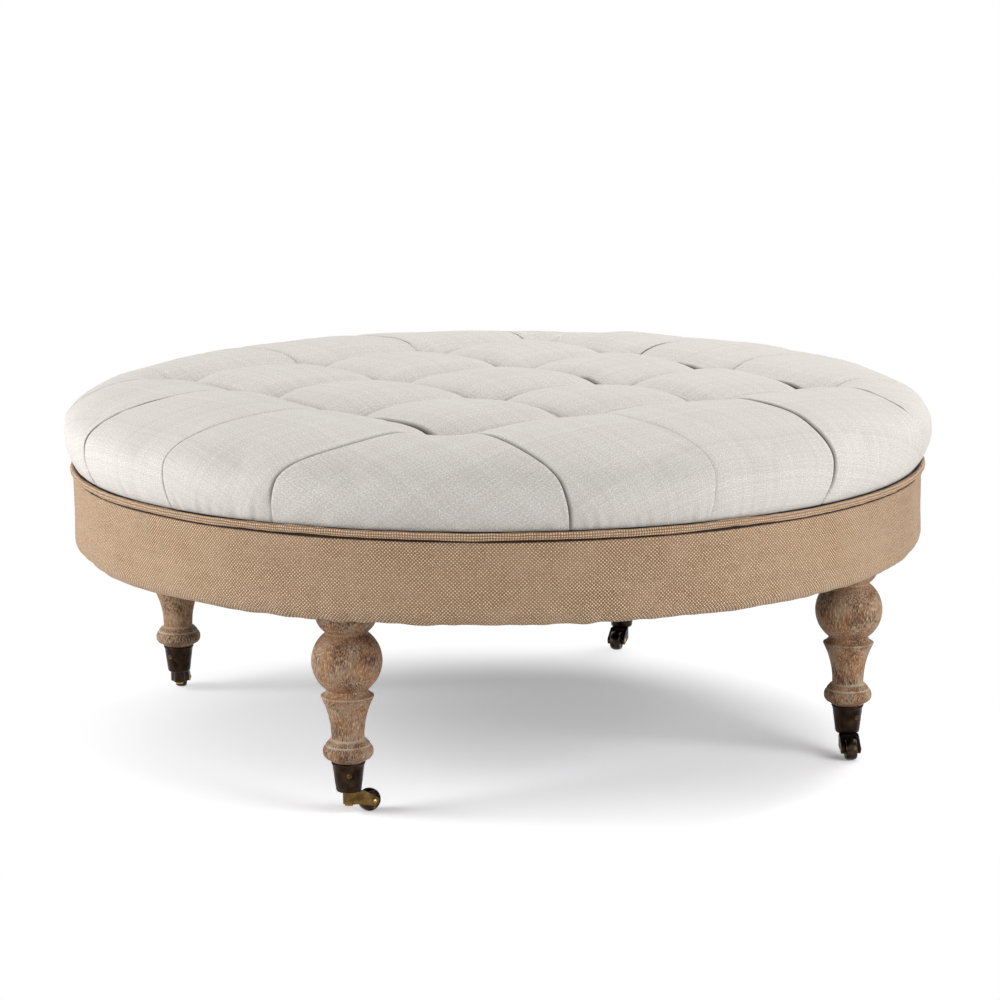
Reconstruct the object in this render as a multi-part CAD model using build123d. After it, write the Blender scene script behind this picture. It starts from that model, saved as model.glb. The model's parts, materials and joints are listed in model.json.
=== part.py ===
from build123d import *
import os
from math import asin, atan2, cos, degrees, pi, radians, sin

# A round tufted ottoman on four turned legs with cup casters.
# The origin is on the floor under the middle, +Z is up, and the legs stand on the corners of a square.

# Driving sizes, in millimetres and degrees
apron_radius = 533.0
apron_height = 99.0
apron_thickness = 3.0
leg_inset = 69.1
leg_height = 178.0
cup_height = 35.5
cup_base_height = 28.5
cushion_bulge = 17.5
cushion_rise = 109.7
wheel_radius = 13.5
wheel_width = 15.0
swivel_trail = 28.0

# Tufting: a square grid of tufts, turned from the square of the legs
tuft_rows = 4
tuft_pitch = 190.0
tuft_grid_turn = 13.0
tuft_depth = 43.0
tuft_mouth_width = 52.0
tuft_mouth_depth = 9.0
tuft_floor_width = 7.0
pleat_depth = 13.0
pleat_cut_depth = 6.0
pleat_cut_width = 2.4
pleat_cut_run = 71.0
shoulder_reach = 21.5
pillow_lift = 2.4
side_belly_share = 0.45
side_reach_share = 0.76

# Clearances and shared overruns
soft_gap = 0.3
swivel_gap = 0.3
running_gap = 0.05
wheel_gap = 0.5
peg_gap = 0.15
leg_hole_gap = 1.5
cut_overrun = 5.0

# Stuffing, platform and piping
foam_inset = 30.0
foam_height = 34.0
twine_width = 2.5
knot_width = 9.0
knot_height = 5.0
platform_thickness = 1.5
platform_inset = 3.0
webbing_thickness = 1.5
webbing_width = 60.0
straps_per_pitch = 2
welt_radius = 5.0
welt_sides = 8

# Edge of the apron, and the frame that the apron covers
apron_edge_radius = 20.0
apron_edge_flats = 3
apron_lip = 11.0
dust_cover_thickness = 0.8
dust_cover_overlap = 6.0
hoop_thickness = 18.0
rail_width = 36.0
rail_height = 45.0
block_reach = 47.0
block_width = 110.0
block_height = 60.0
bolt_radius = 4.0
bolt_depth_in_leg = 45.0
bolt_end = 3.0
nut_height = 6.5
nut_radius = 7.5
nut_sides = 6

# Leg turning: radii, and heights as shares of leg_height up from the cup's rim
bun_radius = 36.0
bun_belly_radius = 33.5
neck_radius = 25.5
ball_radius = 41.0
lip_radius = 31.0
vase_radius = 24.3
vase_neck_radius = 20.6
waist_radius = 19.1
fillet_radius = 21.5
bead_radius = 25.8
ring_radius = 29.2
ring_base_radius = 27.0
foot_radius = 19.0
bun_belly_share = 0.935
bun_base_share = 0.865
ball_share = 0.669
collar_share = 0.461
lip_share = 0.438
vase_share = 0.343
vase_neck_share = 0.264
waist_share = 0.148
bead_share = 0.118
ring_share = 0.074
ring_base_share = 0.039
foot_share = 0.008

# Caster
cup_rim_radius = 19.4
cup_base_radius = 14.75
cup_wall = 1.8
cup_floor = 3.0
cup_edge = 2.2
pin_radius = 3.0
pin_head_radius = 5.0
pin_head_height = 2.0
horn_neck_radius = 7.0
horn_neck_height = 15.0
horn_flare = 8.0
horn_ear = 4.0
horn_shoulder = 15.0
horn_boss_radius = 5.5
horn_boss_turn = 30.0
axle_radius = 2.2
axle_end = 0.9
wheel_chamfer = 2.6

# Each corner: its side along X and Y, and the way that its wheel trails
corners = {"front_left": (-1, -1), "front_right": (1, -1), "back_left": (-1, 1), "back_right": (1, 1)}
trail_turns = {"front_left": 13.1, "front_right": -110.1, "back_left": 67.6, "back_right": -129.8}

# Heights from the floor up
cup_rim_z = cup_base_height + cup_height
cup_floor_z = cup_base_height + cup_floor
apron_base_z = cup_rim_z + leg_height
apron_top_z = apron_base_z + apron_height
frame_base_z = apron_base_z + apron_thickness
apron_bend_z = apron_base_z + apron_edge_radius
block_top_z = frame_base_z + block_height
welt_z = apron_top_z + welt_radius
seam_z = welt_z + welt_radius + soft_gap
platform_base_z = seam_z - platform_thickness
webbing_joint_z = platform_base_z - webbing_thickness
hoop_top_z = webbing_joint_z - webbing_thickness
pocket_top_z = seam_z + foam_height + soft_gap
crest_z = seam_z + cushion_rise
horn_top_z = cup_base_height - swivel_gap
horn_base_z = horn_top_z - horn_neck_height

# Radii and places that several pieces share
hoop_radius = apron_radius - apron_thickness
hoop_inner_radius = hoop_radius - hoop_thickness
apron_bend_radius = apron_radius - apron_edge_radius
lip_inner_radius = apron_bend_radius - apron_lip
platform_radius = hoop_radius - platform_inset
seam_radius = hoop_radius
cushion_radius = seam_radius + cushion_bulge
foam_radius = seam_radius - foam_inset
leg_ring_radius = apron_radius - leg_inset
block_inner_radius = leg_ring_radius - block_reach
pillow_radius = ((tuft_pitch / 2) ** 2 + pleat_depth**2) / (2 * pleat_depth)
pillow_ring = tuft_pitch * tuft_rows / 2
slot_half_width = wheel_width / 2 + wheel_gap
horn_half_width = slot_half_width + horn_ear
tuft_lines = [(i - (tuft_rows - 1) / 2) * tuft_pitch for i in range(tuft_rows)]
tuft_places = [(across, along) for along in tuft_lines for across in tuft_lines]
quarter_turns = (0, 90, 180, 270)

upwards = (Align.CENTER, Align.CENTER, Align.MIN)


def turned(*pieces):
    """The solid that a closed outline of radii and heights sweeps about the vertical axis."""
    return revolve(Plane.XZ * make_face(Curve() + list(pieces)), Axis.Z)


def turned_polygon(*points):
    return revolve(Plane.XZ * make_face(Polyline(*points, close=True)), Axis.Z)


def disc(radius, base, top):
    return Pos(0, 0, base) * Cylinder(radius, top - base, align=upwards)


def post(width, base, top):
    return Pos(0, 0, base) * Box(width, width, top - base, align=upwards)


def on_grid(shape, across=0, along=0):
    return Rot(0, 0, tuft_grid_turn) * Pos(across, along, 0) * shape


def at_tufts(shape):
    return [on_grid(shape, across, along) for across, along in tuft_places]


def at_leg(corner, shape):
    across, along = corners[corner]
    reach = leg_ring_radius * sin(pi / 4)
    return Pos(across * reach, along * reach, 0) * shape


def at_caster(corner, shape):
    return at_leg(corner, Rot(0, 0, trail_turns[corner]) * shape)


def crown_points(inset):
    """Key points of the cushion's outline, from the seam over the shoulder to the flat crown."""
    widest = cushion_radius - inset
    seam = seam_radius - inset
    shoulder = widest - shoulder_reach
    dome = pillow_radius + pillow_lift - inset
    dome_middle_z = crest_z - pillow_radius
    lean = asin((shoulder - pillow_ring) / dome)
    shoulder_z = dome_middle_z + dome * cos(lean)
    bend = shoulder_reach / (1 - sin(lean))
    widest_z = shoulder_z - bend * cos(lean)
    half = (lean + pi / 2) / 2
    return {
        "seam": (seam, seam_z),
        "belly": (seam + (widest - seam) * side_reach_share, seam_z + (widest_z - seam_z) * side_belly_share),
        "widest": (widest, widest_z),
        "bend": (widest - bend + bend * sin(half), widest_z + bend * cos(half)),
        "shoulder": (shoulder, shoulder_z),
        "dome": (pillow_ring + dome * sin(lean / 2), dome_middle_z + dome * cos(lean / 2)),
        "crown": (pillow_ring, dome_middle_z + dome),
    }


def crowned_body():
    p = crown_points(0)
    crown_z = p["crown"][1]
    return turned(
        Line((0, seam_z), p["seam"]),
        ThreePointArc(p["seam"], p["belly"], p["widest"]),
        ThreePointArc(p["widest"], p["bend"], p["shoulder"]),
        ThreePointArc(p["shoulder"], p["dome"], p["crown"]),
        Line(p["crown"], (0, crown_z)),
        Line((0, crown_z), (0, seam_z)),
    )


def cell_span(middle):
    """How far a cell reaches on one axis of the grid: its square, or out past the rim."""
    reach = cushion_radius + cut_overrun
    low = -reach if middle <= -pillow_ring else middle - tuft_pitch / 2
    high = reach if middle >= pillow_ring else middle + tuft_pitch / 2
    return low, high


def pillow(across, along):
    """One cell of the tufting, as a sphere cut to the cell."""
    (x0, x1), (y0, y1) = cell_span(across), cell_span(along)
    base, top = seam_z - cut_overrun, crest_z + cut_overrun
    cell = Box(x1 - x0, y1 - y0, top - base, align=upwards)
    cell = Pos((x0 + x1) / 2, (y0 + y1) / 2, base) * cell
    return cell & Pos(across, along, crest_z - pillow_radius) * Sphere(pillow_radius)


def pillow_field():
    middles = [(i - tuft_rows / 2) * tuft_pitch for i in range(tuft_rows + 1)]
    return on_grid(Part() + [pillow(across, along) for across in middles for along in middles])


def pinch_square(width, depth):
    return Pos(0, 0, crest_z - depth) * Rot(0, 0, 45) * Rectangle(width, width)


def tuft_funnels():
    """A four-sided pinch at each tuft, its corners on the pleats."""
    floor = pinch_square(tuft_floor_width, tuft_depth)
    mouth = pinch_square(tuft_mouth_width, tuft_mouth_depth)
    return at_tufts(loft([floor, mouth], ruled=True))


def border_pleat(line):
    """A slit that runs on from an outer tuft, over the shoulder and down to the seam."""
    p = crown_points(pleat_cut_depth)
    start = p["shoulder"][0] - pleat_cut_run
    dome = pillow_radius + pillow_lift - pleat_cut_depth
    start_z = crest_z - pillow_radius + (dome**2 - (start - pillow_ring) ** 2) ** 0.5
    inner = [(start, start_z), p["shoulder"], p["bend"], p["widest"], p["belly"], p["seam"]]
    path = [((radius**2 - line**2) ** 0.5, z) for radius, z in inner]
    outside, above, below = cushion_radius + cut_overrun, crest_z + cut_overrun, seam_z - cut_overrun
    path += [(path[-1][0], below), (outside, below), (outside, above), (path[0][0], above)]
    side = Plane.XZ * make_face(Polyline(*path, close=True))
    return Pos(0, line, 0) * extrude(side, amount=pleat_cut_width / 2, both=True)


def border_pleats():
    slits = [border_pleat(line) for line in tuft_lines]
    return [on_grid(Rot(0, 0, turn) * slit) for slit in slits for turn in quarter_turns]


def tufted_cushion():
    body = crowned_body() & pillow_field()
    body -= tuft_funnels()
    body -= border_pleats()
    return body - disc(foam_radius + soft_gap, seam_z - cut_overrun, pocket_top_z)


def foam_pad():
    hole = post(twine_width + 2 * soft_gap, seam_z - cut_overrun, pocket_top_z + cut_overrun)
    return disc(foam_radius, seam_z, seam_z + foam_height) - at_tufts(hole)


def tuft_twine():
    """At each tuft a strand down through the foam, knotted under the platform."""
    strand = post(twine_width, platform_base_z, pocket_top_z)
    knot = post(knot_width, platform_base_z - knot_height, platform_base_z)
    return at_tufts(strand + knot)


def platform_cloth():
    hole = post(twine_width + 2 * soft_gap, platform_base_z - cut_overrun, seam_z + cut_overrun)
    return disc(platform_radius, platform_base_z, seam_z) - at_tufts(hole)


def webbing(base, turn):
    """Parallel straps across the hoop, spaced so that the twine comes up between them."""
    spacing = tuft_pitch / straps_per_pitch
    count = round((hoop_inner_radius - webbing_width / 2) / spacing)
    trim = disc(platform_radius, base, base + webbing_thickness)
    straps = []
    for i in range(-count, count):
        strap = Box(2 * platform_radius, webbing_width, webbing_thickness, align=upwards)
        strap = Pos(0, i * spacing + spacing / 2, base) * strap
        straps.append(on_grid(Rot(0, 0, turn) * strap) & trim)
    return straps


def piping_welt():
    """A ring of many-sided cord, flat where it lies on the apron's edge and under the cushion."""
    section = RegularPolygon(welt_radius, welt_sides, major_radius=False, rotation=180 / welt_sides)
    return revolve(Plane.XZ * Pos(hoop_radius + soft_gap + welt_radius, welt_z) * section, Axis.Z)


def apron_cover():
    """A skin with a rolled lower edge of three flats, turned in under the hoop as a lip."""
    turns = [i * pi / 2 / apron_edge_flats for i in range(apron_edge_flats + 1)]
    edge = [(apron_bend_radius + apron_edge_radius * sin(turn), apron_bend_z - apron_edge_radius * cos(turn))
            for turn in turns]
    return turned_polygon(
        (lip_inner_radius, apron_base_z),
        *edge,
        (apron_radius, apron_top_z),
        (hoop_radius, apron_top_z),
        (hoop_radius, apron_bend_z),
        (apron_bend_radius, frame_base_z),
        (lip_inner_radius, frame_base_z),
    )


def hoop_frame():
    return turned_polygon(
        (hoop_inner_radius, frame_base_z),
        (apron_bend_radius, frame_base_z),
        (hoop_radius, apron_bend_z),
        (hoop_radius, hoop_top_z),
        (hoop_inner_radius, hoop_top_z),
    )


def cross_rail(turn, notch_side):
    """One of two rails between opposite blocks, halved into the other where they cross."""
    rail = Box(2 * block_inner_radius, rail_width, rail_height)
    rail -= Pos(0, 0, notch_side * rail_height / 2) * Box(rail_width, 2 * rail_width, rail_height)
    return Rot(0, 0, turn) * Pos(0, 0, frame_base_z + rail_height / 2) * rail


def leg_block(corner):
    """A block that fills the hoop behind the leg, its outer end rounded to the hoop."""
    across, along = corners[corner]
    blank = Box(hoop_radius - block_inner_radius, block_width, block_height, align=(Align.MIN, *upwards[1:]))
    blank = Rot(0, 0, degrees(atan2(along, across))) * Pos(block_inner_radius, 0, frame_base_z) * blank
    blank &= disc(hoop_inner_radius, frame_base_z, block_top_z)
    hole = disc(bolt_radius + running_gap, frame_base_z - cut_overrun, block_top_z + cut_overrun)
    return blank - at_leg(corner, hole)


def hanger_bolt():
    return disc(bolt_radius, frame_base_z - bolt_depth_in_leg, block_top_z + nut_height + bolt_end)


def bolt_nut():
    nut = extrude(RegularPolygon(nut_radius, nut_sides), amount=nut_height)
    return Pos(0, 0, block_top_z) * nut - hanger_bolt()


def dust_cover():
    top = apron_base_z
    base = top - dust_cover_thickness
    hole = disc(bun_radius + leg_hole_gap, base - cut_overrun, top + cut_overrun)
    cover = disc(lip_inner_radius + dust_cover_overlap, base, top)
    return cover - [at_leg(corner, hole) for corner in corners]


def leg_z(share):
    return cup_rim_z + share * leg_height


def leg_outline():
    """Points of the turning from the top down, and the point that each curved stretch bulges to."""
    ball_half = (ball_radius**2 - neck_radius**2) ** 0.5
    inside_wall = cup_wall + peg_gap
    points = {
        "top": (bun_radius, frame_base_z),
        "bun": (bun_radius, apron_base_z),
        "bun_base": (neck_radius, leg_z(bun_base_share)),
        "ball_top": (neck_radius, leg_z(ball_share) + ball_half),
        "ball_base": (neck_radius, leg_z(ball_share) - ball_half),
        "collar": (neck_radius, leg_z(collar_share)),
        "lip": (lip_radius, leg_z(lip_share)),
        "vase": (vase_radius, leg_z(vase_share)),
        "vase_neck": (vase_neck_radius, leg_z(vase_neck_share)),
        "waist": (waist_radius, leg_z(waist_share)),
        "fillet": (fillet_radius, leg_z(waist_share)),
        "bead": (bead_radius, leg_z(bead_share)),
        "ring": (ring_radius, leg_z(ring_share)),
        "ring_base": (ring_base_radius, leg_z(ring_base_share)),
        "foot": (foot_radius, leg_z(foot_share)),
        "peg_top": (cup_rim_radius - inside_wall, cup_rim_z),
        "peg_base": (cup_base_radius - inside_wall, cup_floor_z),
    }
    bulges = {
        "bun": (bun_belly_radius, leg_z(bun_belly_share)),
        "ball_top": (ball_radius, leg_z(ball_share)),
    }
    return points, bulges


def turned_leg():
    points, bulges = leg_outline()
    names = list(points)
    outline = [Line((0, frame_base_z), points["top"])]
    for start, end in zip(names, names[1:]):
        if start in bulges:
            outline.append(ThreePointArc(points[start], bulges[start], points[end]))
        else:
            outline.append(Line(points[start], points[end]))
    outline += [Line(points["peg_base"], (0, cup_floor_z)), Line((0, cup_floor_z), (0, frame_base_z))]
    return turned(*outline) - hanger_bolt()


def cup_shell():
    return turned_polygon(
        (pin_radius, cup_base_height),
        (cup_base_radius - cup_edge, cup_base_height),
        (cup_base_radius, cup_base_height + cup_edge),
        (cup_rim_radius, cup_rim_z),
        (cup_rim_radius - cup_wall, cup_rim_z),
        (cup_base_radius - cup_wall, cup_floor_z),
        (pin_radius, cup_floor_z),
    )


def swivel_pin():
    """The shank is fast in the cup's floor, and its head holds the horn from below."""
    head_top = horn_base_z - swivel_gap
    shank = disc(pin_radius, head_top, cup_floor_z)
    return shank + disc(pin_head_radius, head_top - pin_head_height, head_top)


def horn_side():
    """Side view of the horn: a tall neck under the cup that falls to a boss at the axle."""
    lean = radians(horn_boss_turn)
    boss_top = (
        swivel_trail + horn_boss_radius * sin(lean),
        wheel_radius + horn_boss_radius * cos(lean),
    )
    boss_nose = (swivel_trail + horn_boss_radius, wheel_radius)
    boss_base = (swivel_trail, wheel_radius - horn_boss_radius)
    return Curve() + [
        Line((-horn_neck_radius, horn_base_z), (-horn_neck_radius, horn_top_z)),
        Line((-horn_neck_radius, horn_top_z), (horn_shoulder, horn_top_z)),
        Line((horn_shoulder, horn_top_z), boss_top),
        ThreePointArc(boss_top, boss_nose, boss_base),
        Line(boss_base, (horn_flare, horn_base_z)),
        Line((horn_flare, horn_base_z), (-horn_neck_radius, horn_base_z)),
    ]


def horn_plan():
    """Plan of the horn: round behind the pin, flared to the width of its two ears."""
    reach = swivel_trail + horn_boss_radius + cut_overrun
    return Curve() + [
        ThreePointArc((0, -horn_neck_radius), (-horn_neck_radius, 0), (0, horn_neck_radius)),
        Line((0, horn_neck_radius), (horn_flare, horn_half_width)),
        Line((horn_flare, horn_half_width), (reach, horn_half_width)),
        Line((reach, horn_half_width), (reach, -horn_half_width)),
        Line((reach, -horn_half_width), (horn_flare, -horn_half_width)),
        Line((horn_flare, -horn_half_width), (0, -horn_neck_radius)),
    ]


def axle_rod(half_length):
    return Pos(swivel_trail, 0, wheel_radius) * Cylinder(axle_radius, 2 * half_length, rotation=(90, 0, 0))


def axle():
    return axle_rod(horn_half_width + axle_end)


def horn():
    side = extrude(Plane.XZ * make_face(horn_side()), amount=horn_half_width, both=True)
    plan = extrude(make_face(horn_plan()), amount=cup_base_height)
    slot = Box(swivel_trail, 2 * slot_half_width, 2 * cup_base_height, align=(Align.MIN, *upwards[:2]))
    body = side & plan
    body -= Pos(swivel_trail - wheel_radius - wheel_gap, 0, 0) * slot
    body -= disc(pin_radius + running_gap, 0, cup_base_height)
    return body - axle()


def wheel():
    half, rim = wheel_width / 2, wheel_radius - wheel_chamfer
    bore = axle_radius + running_gap
    tread = half - wheel_chamfer
    profile = [(bore, -half), (rim, -half), (wheel_radius, -tread)]
    profile += [(wheel_radius, tread), (rim, half), (bore, half)]
    return Pos(swivel_trail, 0, wheel_radius) * Rot(90, 0, 0) * turned_polygon(*profile)


def at_all_legs(shape):
    return Compound(children=[at_leg(corner, shape) for corner in corners])


def main():
    os.makedirs("parts", exist_ok=True)
    nodes = {
        "tufted_cushion": tufted_cushion(),
        "foam_pad": foam_pad(),
        "tuft_twine": Compound(children=tuft_twine()),
        "platform_cloth": platform_cloth(),
        "webbing_upper": Compound(children=webbing(webbing_joint_z, 0)),
        "webbing_lower": Compound(children=webbing(hoop_top_z, 90)),
        "piping_welt": piping_welt(),
        "apron_cover": apron_cover(),
        "hoop_frame": hoop_frame(),
        "cross_rail_lower": cross_rail(45, 1),
        "cross_rail_upper": cross_rail(135, -1),
        "dust_cover": dust_cover(),
        "hanger_bolts": at_all_legs(hanger_bolt()),
        "bolt_nuts": at_all_legs(bolt_nut()),
    }
    for corner in corners:
        nodes[corner + "_leg_block"] = leg_block(corner)
        nodes[corner + "_leg"] = at_leg(corner, turned_leg())
        nodes[corner + "_cup"] = at_leg(corner, cup_shell())
        nodes[corner + "_swivel_pin"] = at_leg(corner, swivel_pin())
        nodes[corner + "_horn"] = at_caster(corner, horn())
        nodes[corner + "_axle"] = at_caster(corner, axle())
        nodes[corner + "_wheel"] = at_caster(corner, wheel())
    for name, shape in nodes.items():
        export_step(shape, os.path.join("parts", name + ".step"))
    print(len(nodes), "nodes; crest at", crest_z, "widest at", crown_points(0)["widest"])


if __name__ == "__main__":
    main()
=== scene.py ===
import json
import math
import bpy
import bmesh
import numpy as np
from mathutils import Matrix, Vector
from mathutils.bvhtree import BVHTree
from mathutils.geometry import delaunay_2d_cdt
from mathutils.interpolate import poly_3d_calc


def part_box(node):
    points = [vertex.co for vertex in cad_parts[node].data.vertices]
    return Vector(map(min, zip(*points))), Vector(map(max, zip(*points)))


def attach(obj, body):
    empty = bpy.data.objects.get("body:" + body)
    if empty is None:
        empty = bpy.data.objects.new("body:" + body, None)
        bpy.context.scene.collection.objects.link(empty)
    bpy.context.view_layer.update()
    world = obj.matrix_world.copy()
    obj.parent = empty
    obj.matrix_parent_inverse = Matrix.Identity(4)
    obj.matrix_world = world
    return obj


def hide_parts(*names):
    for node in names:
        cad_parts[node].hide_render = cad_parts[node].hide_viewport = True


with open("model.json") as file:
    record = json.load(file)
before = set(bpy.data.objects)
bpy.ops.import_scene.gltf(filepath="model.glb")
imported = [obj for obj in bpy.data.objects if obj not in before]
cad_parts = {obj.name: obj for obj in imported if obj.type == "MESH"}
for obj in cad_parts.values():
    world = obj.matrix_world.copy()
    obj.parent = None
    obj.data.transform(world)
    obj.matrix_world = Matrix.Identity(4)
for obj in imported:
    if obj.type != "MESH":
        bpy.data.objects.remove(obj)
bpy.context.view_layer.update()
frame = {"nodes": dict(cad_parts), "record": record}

# A round tufted ottoman: linen cushion, burlap apron and piping, limed oak legs on brass casters.
# Lengths are in metres; mm turns millimetres into metres.
mm = 0.001
corners = ("front_left", "front_right", "back_left", "back_right")
rootBody = "ottoman"
cameraView = {"azimuth": -22.90, "elevation": 10.39, "roll": -0.39, "lens": 114.7,
              "place": (-1.5526, -3.6824, 1.0231)}
cameraTurn = math.radians(cameraView["azimuth"])


def middleOf(node):
    low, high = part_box(node)
    return (low + high) / 2


legPlaces = {corner: middleOf(corner + "_leg") for corner in corners}
wheelPlaces = {corner: middleOf(corner + "_wheel") for corner in corners}
wheelAxes = {}
for corner in corners:
    way = (wheelPlaces[corner] - legPlaces[corner]).to_2d().normalized()       # from the leg to its wheel
    wheelAxes[corner] = Vector((-way.y, way.x, 0))
print("frame loaded:", len(frame["nodes"]), "nodes")


# Helpers

def linear(hexCode):
    parts = [int(hexCode[i:i + 2], 16) / 255 for i in (1, 3, 5)]
    return tuple([c / 12.92 if c <= 0.04045 else ((c + 0.055) / 1.055) ** 2.4 for c in parts] + [1.0])


def addNode(tree, kind, settings={}, inputs={}):
    node = tree.nodes.new(kind)
    for name, value in settings.items():
        setattr(node, name, value)
    for socket, value in inputs.items():
        if isinstance(value, bpy.types.NodeSocket):
            tree.links.new(value, node.inputs[socket])
        else:
            node.inputs[socket].default_value = value
    return node


def maths(tree, operation, *values):
    return addNode(tree, "ShaderNodeMath", {"operation": operation}, dict(enumerate(values))).outputs[0]


def vectorMaths(tree, operation, inputs, result=0):
    return addNode(tree, "ShaderNodeVectorMath", {"operation": operation}, inputs).outputs[result]


def noise(tree, place, size, detail, **more):
    inputs = {"Vector": place, "Scale": 1 / size, "Detail": detail, **more}
    return addNode(tree, "ShaderNodeTexNoise", {}, inputs).outputs[0]


def ranged(tree, value, low=0.0, high=1.0, atLow=0.0, atHigh=1.0, **settings):
    inputs = {0: value, 1: low, 2: high, 3: atLow, 4: atHigh}
    return addNode(tree, "ShaderNodeMapRange", settings, inputs).outputs[0]


def apart(tree, place):
    return addNode(tree, "ShaderNodeSeparateXYZ", {}, {0: place}).outputs


def together(tree, parts):
    return addNode(tree, "ShaderNodeCombineXYZ", {}, parts).outputs[0]


def inScene(name, data):
    thing = bpy.data.objects.new(name, data)
    bpy.context.scene.collection.objects.link(thing)
    return thing


def newPiece(name, made, body, nodes=()):
    piece = made if isinstance(made, bpy.types.Object) else inScene(name, made)
    piece.name = name
    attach(piece, body)
    if nodes:
        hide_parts(*nodes)
    return piece


def smoothStep(value):
    t = np.clip(value, 0, 1)
    return t * t * (3 - 2 * t)


def ripple(x, y, wave, seed):
    # a smooth random height of about -1 to 1: waves of about one length that run in random directions
    count = 9
    draw = np.random.default_rng(seed)
    total = 0
    for turn, phase, stretch in zip(draw.uniform(0, 2 * np.pi, count), draw.uniform(0, 2 * np.pi, count),
                                    draw.uniform(0.7, 1.5, count)):
        total = total + np.sin((x * np.cos(turn) + y * np.sin(turn)) * 2 * np.pi / (wave * stretch) + phase)
    return total / math.sqrt(count)


def meshFrom(name, points, faces, material):
    mesh = bpy.data.meshes.new(name)
    mesh.from_pydata([tuple(p) for p in points], [], [tuple(f) for f in faces])
    mesh.materials.append(material)
    mesh.polygons.foreach_set("use_smooth", [True] * len(mesh.polygons))
    return mesh


def weldMesh(mesh):
    work = bmesh.new()
    work.from_mesh(mesh)
    bmesh.ops.remove_doubles(work, verts=work.verts, dist=0.01 * mm)
    bmesh.ops.recalc_face_normals(work, faces=work.faces)
    work.to_mesh(mesh)
    work.free()
    return mesh


# Materials

def newMaterial(name):
    material = bpy.data.materials.new(name)
    material.use_nodes = True
    material.node_tree.nodes.clear()
    return material, material.node_tree


def finishMaterial(tree, colour, roughness, more):
    inputs = {"Base Color": colour, "Roughness": roughness, **more}
    shader = addNode(tree, "ShaderNodeBsdfPrincipled", {}, inputs)
    addNode(tree, "ShaderNodeOutputMaterial", {}, {"Surface": shader.outputs[0]})


def objectPlace(tree):
    return addNode(tree, "ShaderNodeTexCoord").outputs["Object"]


def attribute(tree, name):
    return addNode(tree, "ShaderNodeAttribute", {"attribute_name": name}).outputs["Fac"]


def longGrain(tree, place, wide, tall):
    # place in units of a grain so wide and so tall
    scale = (1 / wide, 1 / wide, 1 / tall)
    return addNode(tree, "ShaderNodeMapping", {}, {"Vector": place, "Scale": scale}).outputs[0]


def bumped(tree, height, strength, distance):
    inputs = {"Strength": strength, "Distance": distance, "Height": height}
    return addNode(tree, "ShaderNodeBump", {}, inputs).outputs[0]


def mixColours(tree, factor, first, second):
    return addNode(tree, "ShaderNodeMix", {"data_type": "RGBA"}, {0: factor, 6: first, 7: second}).outputs[2]


def tinted(tree, colour, hexCode, mask, low, high, most=1.0):
    # the colour goes over to another, up to a share of most, as the mask runs from low to high
    return mixColours(tree, ranged(tree, mask, low, high, 0.0, most), colour, linear(hexCode))


def woven(tree, along, across, pitch):
    # plain weave: one way's thread is on top where the product of the two waves is above zero,
    # and each thread has a tone of its own, which shows where it is on top
    waves = [maths(tree, "SINE", maths(tree, "MULTIPLY", way, math.pi / pitch)) for way in (along, across)]
    product = maths(tree, "MULTIPLY", *waves)
    tones = []
    for place in (along, across):
        count = maths(tree, "FLOOR", maths(tree, "DIVIDE", place, pitch))
        kind = "ShaderNodeTexWhiteNoise"
        tones.append(addNode(tree, kind, {"noise_dimensions": "1D"}, {"W": count}).outputs[0])
    warp = maths(tree, "GREATER_THAN", product, 0.0)
    tone = addNode(tree, "ShaderNodeMix", {}, {0: warp, 2: tones[0], 3: tones[1]}).outputs[0]
    return product, maths(tree, "ABSOLUTE", product), tone


def linenCloth():
    # Washed linen, plain woven: matt, faintly warm and cool in patches, and flecked with darker slubs.
    # The real threads are 0.6 mm apart, too fine to show, so they are drawn 1.7 mm apart.
    material, tree = newMaterial("washedLinen")
    lay = addNode(tree, "ShaderNodeUVMap", {"uv_map": "clothLay"}).outputs[0]
    place = apart(tree, lay)
    _, height, tone = woven(tree, place[0], place[1], 1.7 * mm)
    patches = noise(tree, lay, 45 * mm, 3.0)
    grain = noise(tree, lay, 1.6 * mm, 2.0)
    colour = mixColours(tree, patches, linear("#DCD9D3"), linear("#DAD4CC"))
    colour = mixColours(tree, tone, colour, linear("#F4F1EC"))
    colour = tinted(tree, colour, "#C0BBB4", grain, 0.36, 0.62, 0.8)
    colour = tinted(tree, colour, "#B9B2A9", height, 0.5, 0.0, 0.3)                  # gaps between threads
    # painted shade in the creases, at the tufts and along the seam, read from the cloth's point attribute
    colour = tinted(tree, colour, "#241A12", attribute(tree, "paintedShade"), 0.2, 0.9, 0.97)
    bump = bumped(tree, maths(tree, "ADD", height, grain), 0.5, 0.25 * mm)
    finishMaterial(tree, colour, 0.92, {"Normal": bump, "Sheen Weight": 0.04, "Sheen Roughness": 0.5,
                                        "Specular IOR Level": 0.25})
    return material


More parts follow.
